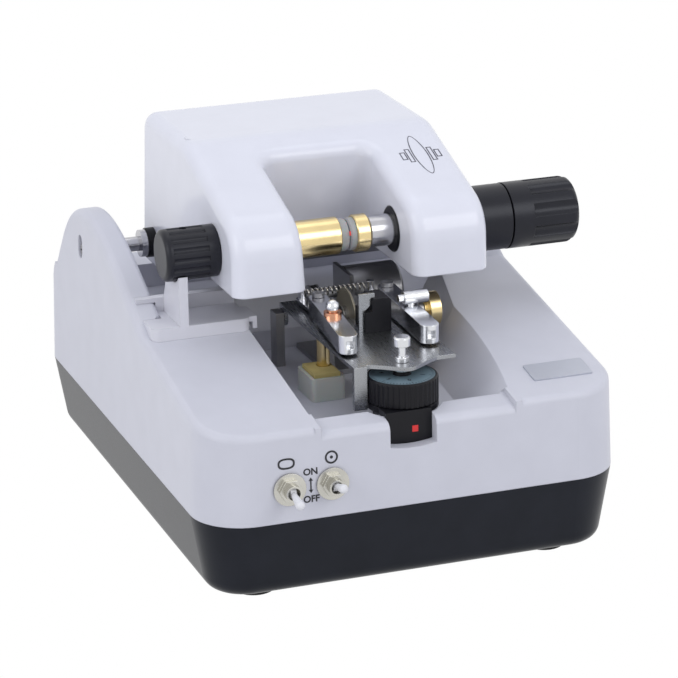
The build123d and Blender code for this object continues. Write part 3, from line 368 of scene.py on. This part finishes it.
# %% Painting the frame
repaint = {
    "left_knob": "knob_black", "clamp_collar": "knob_black", "clamp_knob": "knob_black",
    "toggle_nuts": "switch_metal", "toggle_bodies": "switch_metal", "lens_toggle": "lever_white",
    "wheel_toggle": "lever_white", "hinge_collars": "bright_steel", "wheel_motor": "motor_grey",
}
for item in frame["record"]["subparts"]:
    name = item["node"]
    mesh = nodes[name].data
    mesh.materials.clear()
    mesh.materials.append(looks[repaint.get(name, item["material_slot"])])
    mesh.polygons.foreach_set("material_index", np.zeros(len(mesh.polygons), np.int32))
print("nodes painted", len(nodes))

# %% [markdown]
# ## Knurled roller
# The right guide arm ends in a small roller, whose knurl grips the lens edge. A bump could fake the
# diamonds, but at this size they show in the outline too, so the sleeve is real geometry: a grid of
# points round the axis, whose radius rises where two crossed sets of ridges meet.

# %% Knurled roller
POINTS_PER_RIDGE = 6


def place_piece(name, mesh, look, body):
    """Puts a finished mesh in the scene, and makes it ride on a body of the frame."""
    mesh.materials.append(looks[look])
    thing = bpy.data.objects.new(name, mesh)
    bpy.context.scene.collection.objects.link(thing)
    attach(thing, body)


def sleeve_mesh(name, points):
    """Mesh of a rows by columns by 3 array of points in metres, its last column joined to its
    first: each face has corners (row, column), (row + 1, column) and the same in the next column."""
    rows, cols = points.shape[:2]
    a, b = (g.ravel() for g in np.meshgrid(np.arange(rows - 1), np.arange(cols), indexing="ij"))
    a1, b1 = a + 1, (b + 1) % cols
    faces = np.stack((a * cols + b, a1 * cols + b, a1 * cols + b1, a * cols + b1), 1)
    mesh = bpy.data.meshes.new(name)
    mesh.from_pydata(points.reshape(-1, 3).tolist(), [], faces.tolist())
    mesh.polygons.foreach_set("use_smooth", np.ones(len(mesh.polygons), bool))
    mesh.update()
    return mesh


def knurl(name, x0, x1, y, z, r, look, body, pitch=0.5, depth=0.12):
    """Knurled sleeve along X: radius r + depth * |sin(a n / 2 + k x) sin(a n / 2 - k x)|, where a
    is the angle, n the number of ridges and k is pi over the pitch."""
    count = int(2 * np.pi * r / pitch)
    angle = np.linspace(0, 2 * np.pi, count * POINTS_PER_RIDGE, endpoint=False)
    x = np.linspace(x0, x1, int((x1 - x0) / pitch * POINTS_PER_RIDGE))
    k = np.pi / pitch
    grid_x, grid_a = np.meshgrid(x, angle, indexing="ij")
    ridges = np.sin(grid_a * count / 2 + k * grid_x) * np.sin(grid_a * count / 2 - k * grid_x)
    radius = r + depth * np.abs(ridges)
    points = np.stack((grid_x, y + radius * np.cos(grid_a), z + radius * np.sin(grid_a)), 2) / 1000
    points += np.array((MID_X, MID_Y, 0))
    place_piece(name, sleeve_mesh(name, points), look, body)
    print(name, "ridges", count)


knurl("roller_knurl", x0=15.8, x1=24.6, y=-56.6, z=92.9, r=2.48, look="chrome", body="right_arm")

# %% [markdown]
# ## Print on a plane
# Signs, numbers and marks are printed on flat places of the machine. They could be painted with
# nodes, but a thin mesh keeps a crisp edge at any distance. Each starts as a curve or a text, is
# turned into a mesh, and is laid on a plane of its own, just clear of the surface.

# %% Print on a plane
PRINT, THIN_PRINT, THICK_PRINT = 0.06, 0.04, 0.1


def plane(origin, across, upward):
    """Matrix of a plane with its own X across and Y upward, at a point in millimetres."""
    x = Vector(across).normalized()
    y = Vector(upward).normalized()
    z = x.cross(y)
    return Matrix.Translation(at(*origin)) @ Matrix((x, y, z)).transposed().to_4x4()


def settle(name, curve, place, look, body):
    """Turns a curve or text into a mesh, moves its points to their place, and makes it ride."""
    holder = bpy.data.objects.new(name + "_curve", curve)
    bpy.context.scene.collection.objects.link(holder)
    bpy.context.view_layer.update()
    mesh = bpy.data.meshes.new_from_object(holder)
    bpy.data.objects.remove(holder)
    mesh.transform(place)
    mesh.materials.clear()
    place_piece(name, mesh, look, body)


print("print", PRINT, "mm thick, thin", THIN_PRINT, "thick", THICK_PRINT)

# %% [markdown]
# ## Words and shapes
# The machine has a few printed words and numbers, and plain shapes beside them. A picture of them
# could be pasted on, but Blender can make text itself, and it fills a flat curve between closed
# outlines. One outline inside another is left open, so two of them make a line.

# %% Words and shapes
WORD_HALF = 0.04


def word(name, text, size, place, bold=0.1, body="case"):
    """Printed text, centred on its plane, with its strokes widened by bold millimetres."""
    curve = bpy.data.curves.new(name, "FONT")
    curve.body = text
    curve.size = size / 1000
    curve.align_x = "CENTER"
    curve.align_y = "CENTER"
    curve.extrude = WORD_HALF / 1000
    curve.offset = bold / 1000
    settle(name, curve, place, "print_black", body)


def flat_shape(name, outlines, thickness, place, look="print_black", body="case"):
    """A mark of closed outlines, which are lists of points in millimetres on its plane."""
    curve = bpy.data.curves.new(name, "CURVE")
    curve.dimensions = "2D"
    curve.fill_mode = "BOTH"
    curve.extrude = thickness / 2000
    for outline in outlines:
        spline = curve.splines.new("POLY")
        spline.points.add(len(outline) - 1)
        for point, (x, y) in zip(spline.points, outline):
            point.co = (x / 1000, y / 1000, 0, 1)
        spline.use_cyclic_u = True
    settle(name, curve, place, look, body)


print("words", 2 * WORD_HALF, "mm thick")

# %% [markdown]
# ## Outlines
# Ovals and boxes are all that the signs need. They could be drawn point by point, but a formula
# keeps them smooth and alike on both sides. With a power above 2 an oval comes nearer to a rounded
# box, as a spectacle lens does when it is seen from the front.

# %% Outlines
def oval(half_x, half_y, power=2.0, count=72):
    """Points of the curve |x / half_x| ** power + |y / half_y| ** power = 1."""
    angle = np.linspace(0, 2 * np.pi, count, endpoint=False)
    c, s = np.cos(angle), np.sin(angle)
    x = half_x * np.sign(c) * np.abs(c) ** (2 / power)
    y = half_y * np.sign(s) * np.abs(s) ** (2 / power)
    return np.stack((x, y), 1).tolist()


def oval_line(half_x, half_y, width, power=2.0):
    """A closed line of the given width: the oval and a smaller one inside it."""
    return [oval(half_x, half_y, power), oval(half_x - width, half_y - width, power)]


def box(x0, x1, y0, y1):
    """The four corners of a rectangle, in order round it."""
    return [(x0, y0), (x1, y0), (x1, y1), (x0, y1)]


def box_line(x0, x1, y0, y1, width):
    """A closed line of the given width round a rectangle."""
    return [box(x0, x1, y0, y1), box(x0 + width, x1 - width, y0 + width, y1 - width)]


print("points of an oval", len(oval(1, 1)))

# %% [markdown]
# ## Signs on the front
# ON and OFF stand between the two switches with a double arrow, and above each switch a small sign
# says what it drives: a spectacle lens on the left, a wheel on the right. All of them could lie on
# one upright plane, but the front face leans back a little as it rises, so each gets a plane that
# leans with it. The red mark stands on the index block, below the dial.

# %% Signs on the front
FACE_LEAN, FACE_LIFT = 0.0314, 0.06
FACE_Y, FACE_Z = -115, 33.5
WORD_SIZE = 3.5
SIGN_LINE = 0.7


def front(x, z):
    """The plane of the front face at a height, lifted just clear of it. The face passes FACE_Y at
    the height FACE_Z."""
    y = FACE_Y + (z - FACE_Z) * FACE_LEAN - FACE_LIFT
    return plane((x, y, z), (1, 0, 0), (0, FACE_LEAN, 1))


word("on_word", "ON", WORD_SIZE, front(-42.7, 51.6))
word("off_word", "OFF", WORD_SIZE, front(-42.6, 41.2))
# One side of the double arrow. The other side is the same, turned by half a turn.
half_arrow = [(0, 3.0), (0.85, 1.7), (0.28, 1.7), (0.28, -1.7), (0.85, -1.7)]
arrow = half_arrow + [(-x, -y) for x, y in half_arrow]
flat_shape("switch_arrow", [arrow], PRINT, front(-42.7, 46.5))
flat_shape("lens_sign", oval_line(3.25, 2.1, SIGN_LINE, 2.6), PRINT, front(-51.8, 55.9))
flat_shape("wheel_sign", oval_line(2.5, 2.5, SIGN_LINE) + [oval(0.6, 0.6)], PRINT,
           front(-34.6, 56.1))
flat_shape("index_mark", [box(-1.15, 1.15, -1.2, 1.2)], THICK_PRINT,
           plane((-0.36, -109.56, 60.7), (1, 0, 0), (0, 0, 1)), "index_red")

# %% [markdown]
# ## Scale of the depth dial
# The dial sets how deep the groove is cut. Its top carries a blue-grey ring with a tick every six
# degrees, a longer one every sixty, and the numbers 0 to 5. The ticks could be sixty small pieces,
# but as outlines of one curve they are a single one. Everything rides on the dial and turns with
# it.

# %% Scale of the depth dial
DIAL_Y, DIAL_TOP = -95.5, 77.2
RING_RADIUS, RING_WIDTH = 12.2, 8.8
TICKS, LONG_EVERY = 60, 10
TICK_INNER, LONG_INNER, TICK_OUTER, TICK_HALF = 10.9, 10.0, 11.9, 0.13
NUMBER_RADIUS, NUMBER_SIZE = 7.7, 2.6


def on_dial(angle, radius, lift):
    """A plane on top of the dial at an angle from the front, with its Y towards the middle."""
    x, y = radius * math.sin(angle), -radius * math.cos(angle)
    across = (math.cos(angle), math.sin(angle), 0)
    return plane((x, DIAL_Y + y, DIAL_TOP + lift), across, (-math.sin(angle), math.cos(angle), 0))


ticks = []
for step in range(TICKS):
    angle = 2 * math.pi * step / TICKS
    x, y = math.sin(angle), -math.cos(angle)
    inner = LONG_INNER if step % LONG_EVERY == 0 else TICK_INNER
    corners = box(inner, TICK_OUTER, -TICK_HALF, TICK_HALF)
    ticks.append([(r * x + w * y, r * y - w * x) for r, w in corners])

flat_shape("dial_scale", oval_line(RING_RADIUS, RING_RADIUS, RING_WIDTH), PRINT,
           on_dial(0, 0, lift=0.04), "dial_face", "depth_dial")
flat_shape("dial_ticks", ticks, THIN_PRINT, on_dial(0, 0, lift=0.08), body="depth_dial")
for number in range(6):
    word("dial_number_%d" % number, str(number), NUMBER_SIZE,
         on_dial(math.radians(60 * number), NUMBER_RADIUS, lift=0.09), bold=0.04, body="depth_dial")

# %% [markdown]
# ## Sign on the head
# The right arm of the head carries a line drawing of what it holds: a lens seen on edge, between
# two pads on their shafts. It could be projected on the shell, but the top of the arm is a flat
# slope there, so one leaning plane is enough.

# %% Sign on the head
ARM_SLOPE = 0.33278
ARM_Y, ARM_Z = -53.4, 124.2
SIGN_X, SIGN_Y, SIGN_LIFT = 38.4, -16.5, 0.05
ARM_LINE = 0.45
PAD_BOX, SHAFT_BOX = (3.5, 5.6, 4.6), (5.9, 8.2, 2.6)

sign = oval_line(3.1, 13.5, ARM_LINE, 1.8)
for side in (-1, 1):
    for near, far, half in (PAD_BOX, SHAFT_BOX):
        low, high = sorted((side * near, side * far))
        sign += box_line(low, high, -half, half, ARM_LINE)
sign_z = ARM_Z + ARM_SLOPE * (SIGN_Y - ARM_Y) + SIGN_LIFT
flat_shape("arm_sign", sign, THIN_PRINT,
           plane((SIGN_X, SIGN_Y, sign_z), (1, 0, 0), (0, 1, ARM_SLOPE)), "print_grey", "head")
print("lines in the sign", len(sign) // 2)

# %% [markdown]
# ## Mark on the left pad
# A short red stroke on the rim of the left pad shows how far the lens has turned. It could be
# painted on the rubber, but as a piece of its own it keeps its edge. It lies on a plane that
# touches the rim, and rides on the spindle with the pad.

# %% Mark on the left pad
flat_shape("pad_mark", [box(-0.33, 0.33, -0.85, 0.85)], THICK_PRINT,
           plane((2.15, -35.35, 114.05), (1, 0, 0), (0, 2.25, 6.85)), "index_red", "lens_drive")
